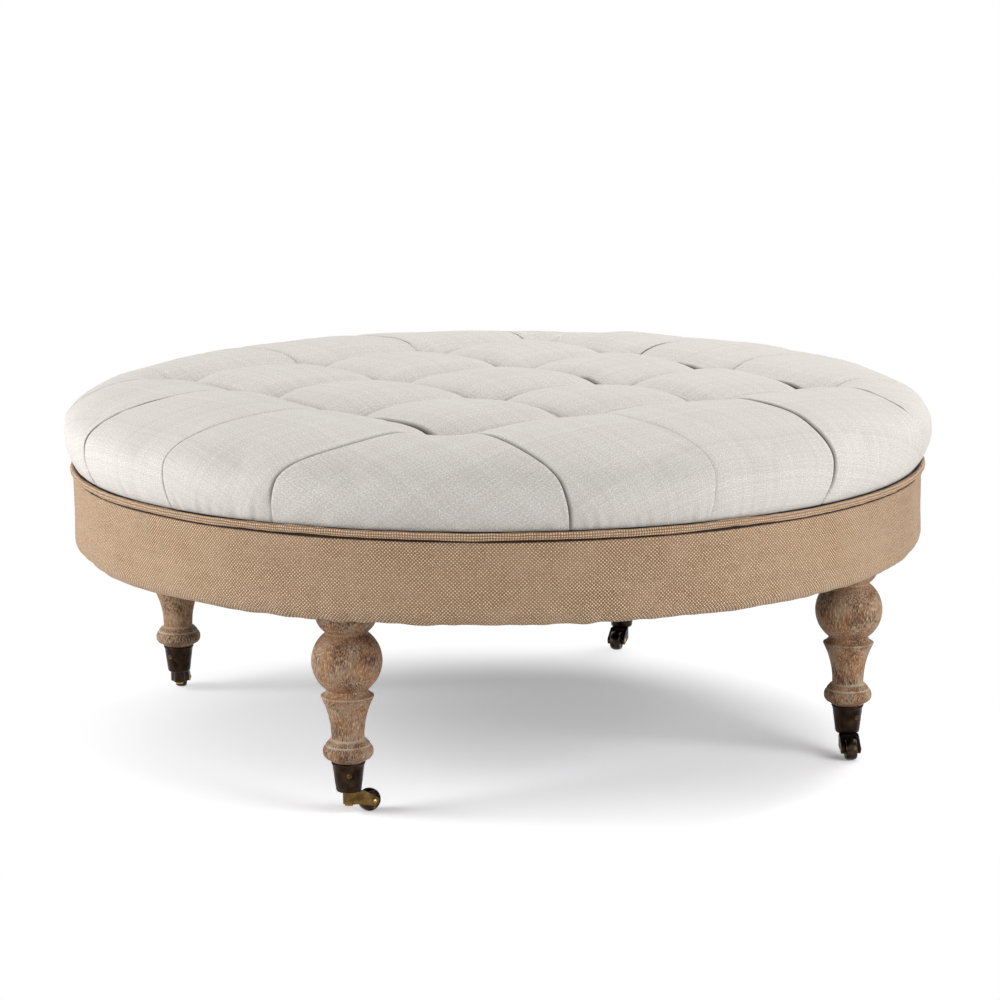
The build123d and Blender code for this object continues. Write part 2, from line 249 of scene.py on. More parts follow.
def burlapCloth(name, bias=False, seamRadius=None, seamHeight=None):
    # Burlap of plain woven jute: coarse round threads, 2.1 mm apart, light and dark by turns, with dark gaps
    # between. On the bias the weave lies at 45 degrees, as on piping. Shade is painted in at the seams by the
    # piping.
    pitch, paintedSeamShade = 2.1 * mm, "#33231A"
    material, tree = newMaterial(name)
    spot = objectPlace(tree)
    inputs = {"Vector": spot, "Scale": 1 / (16 * mm), "Detail": 1.0}
    wander = addNode(tree, "ShaderNodeTexNoise", {}, inputs).outputs[1]
    shift = vectorMaths(tree, "SCALE", {0: wander, "Scale": 2.2 * mm})
    place = apart(tree, vectorMaths(tree, "ADD", {0: spot, 1: shift}))
    turn = maths(tree, "ARCTAN2", place[1], place[0])
    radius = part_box("apron_cover")[1].x
    threads = 2 * round(math.pi * radius / pitch)        # an even count, so that the weave closes on itself
    along = maths(tree, "MULTIPLY", turn, threads * pitch / (2 * math.pi))
    across = maths(tree, "SUBTRACT", place[2], middleOf("apron_cover").z)
    if bias:
        along, across = maths(tree, "ADD", along, across), maths(tree, "SUBTRACT", along, across)
        pitch *= math.sqrt(2)
    product, height, tone = woven(tree, along, across, pitch)
    fibre = noise(tree, spot, 1.6 * mm, 2.0)
    patches = noise(tree, spot, 60 * mm, 2.0)
    colour = mixColours(tree, ranged(tree, product, -0.35, 0.35), linear("#875F40"), linear("#FFE4BE"))
    colour = tinted(tree, colour, "#BC9574", tone, 0.0, 1.0, 0.22)
    colour = tinted(tree, colour, "#8E6C50", fibre, 0.42, 0.7, 0.65)
    colour = tinted(tree, colour, "#DBBB9E", patches, 0.35, 0.65, 0.3)
    colour = tinted(tree, colour, "#5F432E", height, 0.35, 0.0, 0.7)                 # gaps between threads
    axes = apart(tree, spot)
    # painted shade on the apron's top strip, under the piping
    if seamHeight:
        colour = tinted(tree, colour, paintedSeamShade, axes[2], seamHeight - 2.0 * mm, seamHeight - 0.8 * mm)
    # painted shade on the piping's inner side, toward the cushion and the apron
    if seamRadius:
        far = vectorMaths(tree, "LENGTH", {0: together(tree, {0: axes[0], 1: axes[1]})}, "Value")
        colour = tinted(tree, colour, paintedSeamShade, far, seamRadius + 0.9 * mm, seamRadius - 0.4 * mm, 0.9)
    bump = bumped(tree, maths(tree, "MULTIPLY_ADD", fibre, 0.5, height), 0.9, 0.7 * mm)
    finishMaterial(tree, colour, 0.88, {"Normal": bump, "Sheen Weight": 0.12, "Sheen Roughness": 0.4,
                                        "Specular IOR Level": 0.3})
    return material


def limedOak():
    # Turned oak scrubbed with lime wax: brown with dark upright pores, and pale where wax fills the grooves.
    material, tree = newMaterial("limedOak")
    spot = objectPlace(tree)
    grain = noise(tree, longGrain(tree, spot, 2.4 * mm, 13 * mm), 1.0, 4.0, Roughness=0.6, Distortion=0.6)
    pores = noise(tree, longGrain(tree, spot, 1.2 * mm, 5.5 * mm), 1.0, 2.0)
    haze = noise(tree, spot, 20 * mm, 4.0)
    blotches = noise(tree, spot, 28 * mm, 2.0)
    colour = mixColours(tree, ranged(tree, grain, 0.3, 0.7), linear("#6C4831"), linear("#BC8D64"))
    colour = tinted(tree, colour, "#583A26", blotches, 0.45, 0.6, 0.5)
    colour = tinted(tree, colour, "#AA927A", haze, 0.42, 0.62, 0.7)
    dark = ranged(tree, pores, 0.50, 0.63, 0.0, 0.92)
    dark = maths(tree, "MULTIPLY", dark, ranged(tree, blotches, 0.4, 0.56, 0.35, 1.0))
    colour = mixColours(tree, dark, colour, linear("#35231A"))
    colour = tinted(tree, colour, "#DCC3A4", pores, 0.43, 0.30, 0.7)
    wax = maths(tree, "MULTIPLY", attribute(tree, "lime"), haze)
    colour = tinted(tree, colour, "#BFB09B", wax, 0.12, 0.5, 0.8)
    bump = bumped(tree, maths(tree, "SUBTRACT", grain, dark), 0.55, 0.5 * mm)
    finishMaterial(tree, colour, 0.68, {"Normal": bump, "Specular IOR Level": 0.35})
    return material


def agedMetal(name, dark, light, roughness, cloud=12 * mm):
    # Brass with a brown patina, rubbed in places: the patina is satin, and the rubbed places shine more.
    material, tree = newMaterial(name)
    spot = objectPlace(tree)
    clouds = noise(tree, spot, cloud, 5.0, Roughness=0.62)
    colour = mixColours(tree, ranged(tree, clouds, 0.4, 0.68), linear(dark), linear(light))
    gloss = ranged(tree, clouds, 0.3, 0.7, roughness + 0.1, roughness - 0.1)
    bump = bumped(tree, noise(tree, spot, 1.4 * mm, 2.0), 0.25, 0.15 * mm)
    finishMaterial(tree, colour, gloss, {"Metallic": 1.0, "Normal": bump})
    return material


def zincSteel():
    # Zinc-plated steel of bolts, nuts and staples: pale and satin, with a faint cloud of handling.
    material, tree = newMaterial("zincSteel")
    clouds = noise(tree, objectPlace(tree), 6 * mm, 3.0)
    colour = mixColours(tree, clouds, linear("#B4B4B4"), linear("#8C8A86"))
    finishMaterial(tree, colour, ranged(tree, clouds, atLow=0.30, atHigh=0.46), {"Metallic": 1.0})
    return material


def plainCloth(name, light, dark, pitch):
    # A hidden cloth, such as hessian, jute strap or cambric: matt, with its threads crossing.
    material, tree = newMaterial(name)
    place = apart(tree, objectPlace(tree))
    _, height, tone = woven(tree, place[0], place[1], pitch)
    colour = mixColours(tree, maths(tree, "MULTIPLY", tone, height), linear(dark), linear(light))
    bump = bumped(tree, height, 0.5, 0.2 * mm)
    finishMaterial(tree, colour, 0.9, {"Normal": bump, "Specular IOR Level": 0.25})
    return material


def cellFoam():
    # Open-cell foam: matt, pale yellow, pitted all over.
    material, tree = newMaterial("openCellFoam")
    inputs = {"Vector": objectPlace(tree), "Scale": 1 / (2 * mm)}
    cells = addNode(tree, "ShaderNodeTexVoronoi", {}, inputs).outputs[0]
    colour = mixColours(tree, cells, linear("#C8B98A"), linear("#EFE4BE"))
    finishMaterial(tree, colour, 0.95, {"Normal": bumped(tree, cells, 0.7, 0.5 * mm)})
    return material


def sawnWood():
    # Sawn pine for hidden rails: bare and pale, with long grain.
    material, tree = newMaterial("sawnPine")
    grain = noise(tree, longGrain(tree, objectPlace(tree), 60 * mm, 3 * mm), 1.0, 5.0, Distortion=0.4)
    colour = mixColours(tree, grain, linear("#B98F5E"), linear("#D9B98A"))
    finishMaterial(tree, colour, 0.75, {"Normal": bumped(tree, grain, 0.4, 0.3 * mm)})
    return material


finishes = {
    "linen": linenCloth(),
    "burlap": burlapCloth("wovenBurlap", seamHeight=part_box("apron_cover")[1].z),
    "limed_oak": limedOak(),
    "dark_bronze": agedMetal("darkBronze", "#1C1511", "#3C2E22", 0.42),
    "aged_brass": agedMetal("agedBrass", "#4E3C20", "#80683C", 0.36),
    "wheel_bronze": agedMetal("wheelBronze", "#171310", "#43342A", 0.30),
    "pin_steel": agedMetal("axleBrass", "#8C6C3C", "#C8A468", 0.3, 4 * mm),
    "zinc_steel": zincSteel(),
    "foam": cellFoam(),
    "twine": plainCloth("waxedTwine", "#B09A74", "#6E5B3C", 0.8 * mm),
    "hessian": plainCloth("hessianCloth", "#B4946A", "#5E4528", 2.4 * mm),
    "jute_webbing": plainCloth("juteWebbing", "#B3905E", "#6A4E2C", 3.0 * mm),
    "cambric": plainCloth("blackCambric", "#2C2C2C", "#161616", 1.0 * mm),
    "frame_wood": sawnWood(),
}
for part in frame["record"]["subparts"]:
    shell = frame["nodes"][part["node"]]
    shell.data.materials.clear()
    shell.data.materials.append(finishes[part["material_slot"]])
for corner in corners[1:]:              # only the front left horn shows its brass
    frame["nodes"][corner + "_horn"].data.materials[0] = finishes["dark_bronze"]
print("materials made:", len(finishes))


# Geometry Nodes: trees, and the plain meshes that they grow

def newTree(name, values):
    # a tree with an input socket for each of the named values
    tree = bpy.data.node_groups.new(name, "GeometryNodeTree")
    tree.interface.new_socket("Geometry", in_out="INPUT", socket_type="NodeSocketGeometry")
    for label, value in values.items():
        kind = "Int" if isinstance(value, int) else "Float" if isinstance(value, float) else "Material"
        tree.interface.new_socket(label, in_out="INPUT", socket_type="NodeSocket" + kind)
    tree.interface.new_socket("Geometry", in_out="OUTPUT", socket_type="NodeSocketGeometry")
    return tree, addNode(tree, "NodeGroupInput").outputs


def endTree(tree, geometry, material):
    smooth = addNode(tree, "GeometryNodeSetShadeSmooth", {}, {"Geometry": geometry}).outputs[0]
    real = addNode(tree, "GeometryNodeRealizeInstances", {}, {"Geometry": smooth}).outputs[0]
    inputs = {"Geometry": real, "Material": material}
    finished = addNode(tree, "GeometryNodeSetMaterial", {}, inputs).outputs[0]
    addNode(tree, "NodeGroupOutput", {}, {"Geometry": finished})
    return tree


def circle(tree, sides, radius):
    inputs = {"Resolution": sides, "Radius": radius}
    return addNode(tree, "GeometryNodeCurvePrimitiveCircle", {}, inputs).outputs[0]


def swept(tree, path, section, more={}):
    inputs = {"Curve": path, "Profile Curve": section, **more}
    return addNode(tree, "GeometryNodeCurveToMesh", {}, inputs).outputs[0]


def shifted(tree, geometry, offset):
    return addNode(tree, "GeometryNodeSetPosition", {}, {"Geometry": geometry, "Offset": offset}).outputs[0]


def named(tree, kind, name):
    return addNode(tree, "GeometryNodeInputNamedAttribute", {"data_type": kind}, {"Name": name}).outputs[0]


def placedAt(tree, points, instance, way, axis):
    # an instance on every point, its axis turned the given way
    turned = addNode(tree, "FunctionNodeAlignRotationToVector", {"axis": axis}, {"Vector": way}).outputs[0]
    inputs = {"Points": points, "Instance": instance, "Rotation": turned}
    return addNode(tree, "GeometryNodeInstanceOnPoints", {}, inputs).outputs[0]


def grown(name, tree, values, start=None):
    piece = inScene(name, start or bpy.data.meshes.new(name + "Start"))
    modifier = piece.modifiers.new("grow", "NODES")
    modifier.node_group = tree
    for item in tree.interface.items_tree:
        if item.in_out == "INPUT" and item.name in values:
            modifier[item.identifier] = values[item.name]
    evaluated = piece.evaluated_get(bpy.context.evaluated_depsgraph_get())
    mesh = bpy.data.meshes.new_from_object(evaluated)
    piece.modifiers.clear()
    piece.data = mesh
    mesh.name = name
    return piece


# The cushion: one cloth over 25 stuffed pillows, drawn down at 16 tufts, with a pleat along every line

cushionLow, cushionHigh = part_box("tufted_cushion")
cushion = {
    "crest": cushionHigh.z,
    "belt": 399.5 * mm,             # height of the widest place
    "wide": cushionHigh.x,
    "seam": cushionLow.z,
    "seamRadius": 530.5 * mm,
    "squareness": 6.29,             # power of the outline across, and up
    "roundness": 2.18,
    "tuftRows": 4,
    "tuftPitch": 190 * mm,
    "gridTurn": math.radians(13),
    "tuftDepth": 45 * mm,
    "pleatDepth": 21 * mm,
    "borderDepth": 5 * mm,
    "seamDepth": 0.4 * mm,
    "cellStep": 4.6 * mm,
    "wander": 2.5 * mm,
    "lumps": 1.6 * mm,
    "puckers": 0.7 * mm,
    "swell": 3.5 * mm,              # how much of a pillow's height comes from the simulated stuffing
    "foldStart": 24 * mm,           # how far from its tuft a fold has its full size
    "inward": 14,                   # rows from a fold to the one that tells which way the pillow lies
    "seed": 7,
}
# Within what distance of the seam each thing dies away
fading = {"shift": 230 * mm, "swell": 90 * mm, "unevenness": 60 * mm, "pucker": 45 * mm, "fold": 30 * mm,
          "depth": 25 * mm}
waves = {"wander": 170 * mm, "lumps": 120 * mm, "folds": 90 * mm, "puckers": 17 * mm}
stuffing = {"step": 9.5 * mm, "frames": 20, "mostMove": 6 * mm, "fabric": {
    "quality": 6, "mass": 0.3, "tension_stiffness": 18, "compression_stiffness": 18, "shear_stiffness": 6,
    "bending_stiffness": 1.5, "shrink_min": -0.001, "vertex_group_mass": "held", "use_pressure": True,
    "uniform_pressure_force": 4.0}}
# How far hand tufting left each tuft off its place, to the camera's right, in mm: rows from the front
tuftShifts = ((6, 5, 9, 5), (-6, 5, 14, -1), (-12, -2, -2, -4), (-19, -6, -4, -6))
# How far each border pleat leaves its grid line by the seam, in degrees, and how late it does, by quarters
pleatTurns = ((0, 1), (0, 1), (-2, 1), (-5, 1.3), (5, 1.3), (4, 1.2), (1.5, 1.2), (4, 1.2),
              (0, 2), (-1.6, 2.5), (-1.2, 2.5), (-7, 2.5), (5.2, 2.5), (0.9, 2.5), (-1.5, 2.5), (5, 2))
# Rows of cloth beside a pleat: how far they lie from it when flat, then where they lie in the fold
# on the side that laps over and on the side that goes under (own way across, and up), in millimetres.
foldFlat = (0, 0.12, 0.3, 0.6, 1.1, 1.9, 3.2, 5.0, 8.0)
lapOver = ((1.2, -5.6), (-0.2, -4.2), (-1.1, -3.0), (-1.4, -1.8), (-0.7, -0.7), (0.7, -0.1), (2.7, 0.2),
           (4.9, 0.1), (8.0, 0))
lapUnder = ((-1.2, -5.6), (-1.0, -5.0), (-0.8, -4.3), (-0.4, -3.5), (0.4, -2.6), (1.5, -1.7), (3.0, -0.9),
            (5.0, -0.3), (8.0, 0))
# Painted shade on those rows, standing in for the shade inside the fold, on the side that laps over and on
# the side that goes under
overShade = (1, 1, 0.8, 0.3, 0, 0, 0, 0, 0)
underShade = (1, 1, 1, 1, 0.9, 0.7, 0.4, 0.1, 0)
# Creases that gape, with a deeper fold and a wider painted shade: how dark, and from where to where along
# them
openCreases = {
    ("upright", 0, 0): (1.0, 0.05, 0.85), ("upright", 2, 1): (0.9, 0.0, 0.4),
    ("upright", 3, 0): (1.0, 0.0, 0.5), ("upright", 3, 1): (1.0, 0.0, 0.55),
    ("across", 0, 1): (0.9, 0.0, 0.5), ("border", 0, 2): (1.0, 0.0, 1.0), ("border", 1, 0): (0.8, 0.1, 0.5),
    ("border", 1, 1): (0.8, 0.1, 0.5), ("border", 2, 1): (0.9, 0.1, 0.9), ("border", 2, 3): (0.7, 0.1, 0.9),
    ("border", 3, 0): (0.8, 0.1, 1.0), ("border", 3, 2): (1.0, 0.1, 0.95), ("border", 3, 3): (1.0, 0.05, 0.6),
}
# Border pleats that hardly fold
faintPleats = {("border", 2, 2): 0.4, ("border", 3, 1): 0.45, ("border", 2, 0): 0.6}
tuftLines = [(i - (cushion["tuftRows"] - 1) / 2) * cushion["tuftPitch"] for i in range(cushion["tuftRows"])]
lastLine = tuftLines[-1]
halfPitch = cushion["tuftPitch"] / 2


def cushionOutline():
    # radius and height of the cushion's outline by its length from the middle, down to the seam
    c = cushion
    span = c["crest"] - c["belt"]
    topRadius = np.linspace(0, 0.93, 500) * c["wide"]
    topHeight = c["belt"] + span * (1 - (topRadius / c["wide"]) ** c["squareness"]) ** (1 / c["roundness"])
    sideHeight = np.linspace(topHeight[-1], c["belt"], 240)[1:]
    lifted = (sideHeight - c["belt"]) / span
    sideRadius = c["wide"] * (1 - lifted ** c["roundness"]) ** (1 / c["squareness"])
    fall = np.linspace(0, 1, 120)[1:]
    baseHeight = c["belt"] - (c["belt"] - c["seam"]) * fall
    baseRadius = c["wide"] - (c["wide"] - c["seamRadius"]) * fall ** 2.2
    radius = np.concatenate([topRadius, sideRadius, baseRadius])
    height = np.concatenate([topHeight, sideHeight, baseHeight])
    length = np.concatenate([[0], np.cumsum(np.hypot(np.diff(radius), np.diff(height)))])
    return length, radius, height


outLength, outRadius, outHeight = cushionOutline()
seamLength = outLength[-1]
widest = int(np.argmax(outRadius))


def lengthAt(radius):
    return np.interp(radius, outRadius[:widest + 1], outLength[:widest + 1])


def surfaceAt(length, turn):
    # a point of the cushion's outer form, and the way straight out of it
    radius, height = (np.interp(length, outLength, values) for values in (outRadius, outHeight))
    run, rise = (np.interp(length + mm, outLength, values) - np.interp(length - mm, outLength, values)
                 for values in (outRadius, outHeight))
    size = np.hypot(run, rise)
    point = np.stack([radius * np.cos(turn), radius * np.sin(turn), height], -1)
    out = np.stack([-rise / size * np.cos(turn), -rise / size * np.sin(turn), run / size], -1)
    return point, out


def cellSpread(width, step, rows):
    # places across a cell: close together in the fold at each edge, even between
    near = np.array(rows) * mm
    middle = np.linspace(near[-1], width - near[-1], max(2, round((width - 2 * near[-1]) / step)) + 1)[1:-1]
    return np.concatenate([near, middle, width - near[::-1]])


def edgeDepth(distance, floor):
    # how deep a line lies at a distance from its tuft, down from its own floor to the tuft's
    share = 1 - np.minimum(distance, halfPitch) / halfPitch
    return floor + (cushion["tuftDepth"] - floor) * share ** 3.4


def edgeShare(distance):
    # how far a pillow is drawn down beside a line, from 1 on the line to 0 at the pillow's middle
    x = np.minimum(distance, halfPitch) / halfPitch
    return 0.5 * (1 - np.sqrt(np.maximum(0, 1 - (1 - x) ** 2))) + 0.5 * (1 - x) ** 2.6


def tuftShift(u, v):
    # the shift between the tufts is blended from the four around
    table = np.array(tuftShifts) * mm
    last = len(table) - 1
    gridU, gridV = (np.clip(x / cushion["tuftPitch"] + last / 2, 0, last) for x in (u, v))
    i, j = (np.minimum(x.astype(int), last - 1) for x in (gridU, gridV))
    a, b = gridU - i, gridV - j
    front = table[j, i] * (1 - a) + table[j, i + 1] * a
    back = table[j + 1, i] * (1 - a) + table[j + 1, i + 1] * a
    return front * (1 - b) + back * b


def pleatTurn(length, turn):
    # the turn by which the border pleats fan out on their way to the seam
    ends = np.degrees([math.asin(line / cushion["seamRadius"]) + quarter * math.pi / 2
                       for quarter in range(4) for line in tuftLines])
    amount, power = (np.interp(np.degrees(turn), ends, values, period=360) for values in zip(*pleatTurns))
    edge = lengthAt(lastLine / np.maximum(np.abs(np.cos(turn)), np.abs(np.sin(turn))))
    share = np.clip((length - edge) / (seamLength - edge), 0, 1)
    return np.radians(amount) * share ** power


def makeCell(length, turn, awayU, awayV, outerU, outerV, edges):
    # one cell of the cloth: length and turn place its points; awayU and awayV are the distances to its lines;
    # outerU and outerV say whether those lines run out over the edge; edges lists the folds along its sides
    c = cushion
    flatU, flatV = length * np.cos(turn), length * np.sin(turn)
    toSeam = seamLength - length

    def away(name):
        return smoothStep(toSeam / fading[name])

    right = cameraTurn - c["gridTurn"]
    shift = tuftShift(flatU, flatV) * away("shift")
    sway = c["wander"] * away("unevenness")
    shiftU = sway * ripple(flatU, flatV, waves["wander"], c["seed"]) + shift * math.cos(right)
    shiftV = sway * ripple(flatU, flatV, waves["wander"], c["seed"] + 1) + shift * math.sin(right)
    newLength = length + shiftU * np.cos(turn) + shiftV * np.sin(turn)
    newTurn = turn + (shiftV * np.cos(turn) - shiftU * np.sin(turn)) / np.maximum(length, 30 * mm)
    point, out = surfaceAt(newLength, newTurn + pleatTurn(length, turn))
    seamShare = np.clip(1 - toSeam / (seamLength - lengthAt(lastLine)), 0, 1)
    floorOut = c["borderDepth"] + (c["seamDepth"] - c["borderDepth"]) * seamShare
    floorU = floorOut if outerU else c["pleatDepth"]     # depth of the line that awayU is measured from
    floorV = floorOut if outerV else c["pleatDepth"]
    shareU, shareV = edgeShare(awayU), edgeShare(awayV)
    depth = shareU * edgeDepth(awayV, floorU) + shareV * edgeDepth(awayU, floorV)
    depth = (depth - shareU * shareV * c["tuftDepth"]) * away("depth")
    depth = depth + c["swell"] * (1 - shareU) * (1 - shareV) * away("swell")
    lump = c["lumps"] * away("unevenness") * (1 - np.maximum(shareU, shareV))
    lump = lump * ripple(flatU, flatV, waves["lumps"], c["seed"] + 2)
    seamU, seamV = c["seamRadius"] * np.cos(turn), c["seamRadius"] * np.sin(turn)
    pucker = c["puckers"] * smoothStep(1 - toSeam / fading["pucker"]) * smoothStep(toSeam / (4 * mm))
    pucker = pucker * ripple(seamU, seamV, waves["puckers"], c["seed"] + 3)
    point = point - out * (depth - lump - pucker)[..., None]
    folded = point.copy()
    # painted shade along the seam, within 1.3 mm of it; the folds add their painted shade below
    dark = np.clip(1 - toSeam / (1.3 * mm), 0, 1) * np.ones(point.shape[:2])
    for side, index, over, fromTuft, tone, gape, strength in edges:
        rows, shades = (lapOver, overShade) if over else (lapUnder, underShade)
        # the cell is seen so that the fold runs down a column
        places, ways, us, vs, toSeams, cloth, paintedShades = (
            values if side == "column" else values.swapaxes(0, 1)
            for values in (point, out, flatU, flatV, toSeam, folded, dark))
        line, lineOut = places[:, index], ways[:, index]
        toward = places[:, index + (c["inward"] if index == 0 else -c["inward"])] - line
        lateral = np.cross(np.gradient(line, axis=0), lineOut)
        lateral /= np.maximum(np.linalg.norm(lateral, axis=-1, keepdims=True), 1e-9)
        lateral *= np.sign(np.sum(lateral * toward, -1, keepdims=True))
        size = 1 + 0.3 * ripple(us[:, index], vs[:, index], waves["folds"], c["seed"] + 4)
        size = size * smoothStep(fromTuft / c["foldStart"])
        size = size * (0.25 + 0.75 * smoothStep(toSeams[:, index] / fading["fold"]))
        size = strength * np.clip(size, 0, 1.35)[:, None]
        for k, (across, up) in enumerate(rows):
            sunk = 1 if over or k == 0 else 1 + 0.5 * gape[:, None]     # both sides share the bottom row
            move = lateral * size * (across - foldFlat[k]) * mm + lineOut * size * up * sunk * mm
            # painted shade in the fold, widened where the crease gapes
            shade = tone * np.interp(k - (0.9 if over else 1.5) * gape, range(len(shades)), shades)
            spot = k if index == 0 else -1 - k
            cloth[:, spot] += move
            paintedShades[:, spot] = np.maximum(paintedShades[:, spot], shade)
    held = (np.minimum(awayU, awayV) < 2 * mm) | (toSeam < 12 * mm)
    lay = np.stack([flatU, flatV], -1)
    return {"base": point, "cloth": folded, "lay": lay, "dark": dark, "held": held * 1.0}


def cushionCells(step, rows, folds):
    c = cushion

    def edge(side, index, key, share, fromTuft, larger):
        # a fold along one side of a cell; larger is True where the cell lies on the side of larger u or v
        kind = ("upright", "across", "border").index(key[0])
        draw = np.random.default_rng((c["seed"], kind, key[1], key[2]))
        over = bool(draw.random() < (0.5 if key[0] == "border" else 0.15)) == larger
        strength, first, last = openCreases.get(key, (0.0, 0.0, 1.0))
        gape = strength * smoothStep((share - first) / 0.1 + 0.5) * smoothStep((last - share) / 0.2 + 0.5)
        # how dark the fold's painted shade is: uneven along the line, less toward the seam on border pleats,
        # most where it gapes and beside the tuft
        base = 0.5 + 0.2 * np.sin(share * draw.uniform(5, 11) + draw.uniform(0, 6))
        if key[0] == "border":
            base = base * (1 - 0.6 * share)
        size = faintPleats.get(key, 1.0)
        tone = np.maximum(np.maximum(base * size, gape), 0.9 * np.exp(-(fromTuft / (10 * mm)) ** 2))
        return side, index, over, fromTuft, tone, gape, size

    spread = cellSpread(c["tuftPitch"], step, rows)
    near = np.minimum(spread, c["tuftPitch"] - spread)
    along = spread / c["tuftPitch"]
    for i, lowU in enumerate(tuftLines[:-1]):
        for j, lowV in enumerate(tuftLines[:-1]):
            u, v = np.meshgrid(lowU + spread, lowV + spread, indexing="ij")
            awayU, awayV = np.meshgrid(near, near, indexing="ij")
            edges = [edge("row", 0, ("upright", i, j), along, near, True),
                     edge("row", -1, ("upright", i + 1, j), along, near, False),
                     edge("column", 0, ("across", i, j), along, near, True),
                     edge("column", -1, ("across", i, j + 1), along, near, False)]
            length, turn = lengthAt(np.hypot(u, v)), np.arctan2(v, u)
            yield makeCell(length, turn, awayU, awayV, False, False, edges * folds)

    # a side cell's columns run out from the last line, over the edge and down to the seam
    rowNear = np.array(rows) * mm
    outward = round((seamLength - lastLine) / step)
    outShare = np.concatenate([np.linspace(0, 0.985, outward)[1:], [0.991, 0.996, 1.0]])

    def runOut(v):
        first = lengthAt(np.hypot(lastLine + rowNear, v))
        return np.concatenate([first, first[-1] + (seamLength - first[-1]) * outShare])

    def sideKey(quarter, i):
        # the line at a side cell's root, whether its share runs the other way, and the cell's side of it
        back = len(tuftLines) - 2 - i
        return ((("upright", 3, i), False, True), (("across", back, 3), True, True),
                (("upright", 0, back), True, False), (("across", i, 0), False, False))[quarter]

    for quarter in range(4):
        for i, low in enumerate(tuftLines[:-1]):
            v = low + spread
            length = np.stack([runOut(x) for x in v], 1)
            across = np.broadcast_to(v, length.shape)
            turn = np.arcsin(across / np.interp(length, outLength, outRadius))
            awayU = (length - length[0]) / np.cos(np.arctan2(v, lastLine))
            awayV = np.broadcast_to(near, length.shape)
            key, reverse, larger = sideKey(quarter, i)
            outAlong = (length - length[0]) / (seamLength - length[0])
            edges = [edge("row", 0, key, 1 - along if reverse else along, near, larger),
                     edge("column", 0, ("border", quarter, i), outAlong[:, 0], awayU[:, 0], True),
                     edge("column", -1, ("border", quarter, i + 1), outAlong[:, -1], awayU[:, -1], False)]
            yield makeCell(length, turn + quarter * np.pi / 2, awayU, awayV, False, True, edges * folds)

        # a corner cell fans out from the corner tuft
        run = runOut(lastLine)
        radius = np.interp(run, outLength, outRadius)
        firstTurn, lastTurn = np.arcsin(lastLine / radius), np.arccos(np.minimum(1, lastLine / radius))
        span = lastTurn - firstTurn
        width = span * radius
        place = cellSpread(width.max(), step, rows)
        fine = len(rows)
        shares = np.empty((len(run), len(place)))
        for row, wide in enumerate(width):
            tight = min(1.0, wide / (4 * rows[-1] * mm)) if wide > 0 else 0
            side = np.array(rows) * mm * tight / wide if wide > 1e-9 else np.linspace(0, 0.2, fine)
            middle = np.linspace(side[-1], 1 - side[-1], len(place) - 2 * fine + 2)[1:-1]
            shares[row] = np.concatenate([side, middle, 1 - side[::-1]])
        length = np.broadcast_to(run[:, None], shares.shape)
        turn = firstTurn[:, None] + span[:, None] * shares
        away = (run - run[0]) / math.cos(math.pi / 4)
        outAlong = (run - run[0]) / (seamLength - run[0])
        edges = [edge("column", 0, ("border", quarter, 3), outAlong, away, True),
                 edge("column", -1, ("border", (quarter + 1) % 4, 0), outAlong, away, False)]
        awayU, awayV = away[:, None] * (1 - shares), away[:, None] * shares
        yield makeCell(length, turn + quarter * np.pi / 2, awayU, awayV, True, True, edges * folds)


def joinCells(step, rows, folds):
    # all cells in one list of points and four-sided faces, turned to the grid's place on the table
    parts, faces, start = {}, [], 0
    for cell in cushionCells(step, rows, folds):
        height, width = cell["dark"].shape
        index = start + np.arange(height * width).reshape(height, width)
        squares = np.stack([index[:-1, :-1], index[1:, :-1], index[1:, 1:], index[:-1, 1:]], -1)
        faces.append(squares.reshape(-1, 4))
        for name, values in cell.items():
            parts.setdefault(name, []).append(values.reshape(height * width, -1))
        start += height * width
    parts = {name: np.concatenate(values) for name, values in parts.items()}
    turn = cushion["gridTurn"]
    spin = np.array([[math.cos(turn), math.sin(turn)], [-math.sin(turn), math.cos(turn)]])
    for name in ("base", "cloth"):
        parts[name][:, :2] = parts[name][:, :2] @ spin
    return parts, np.concatenate(faces)


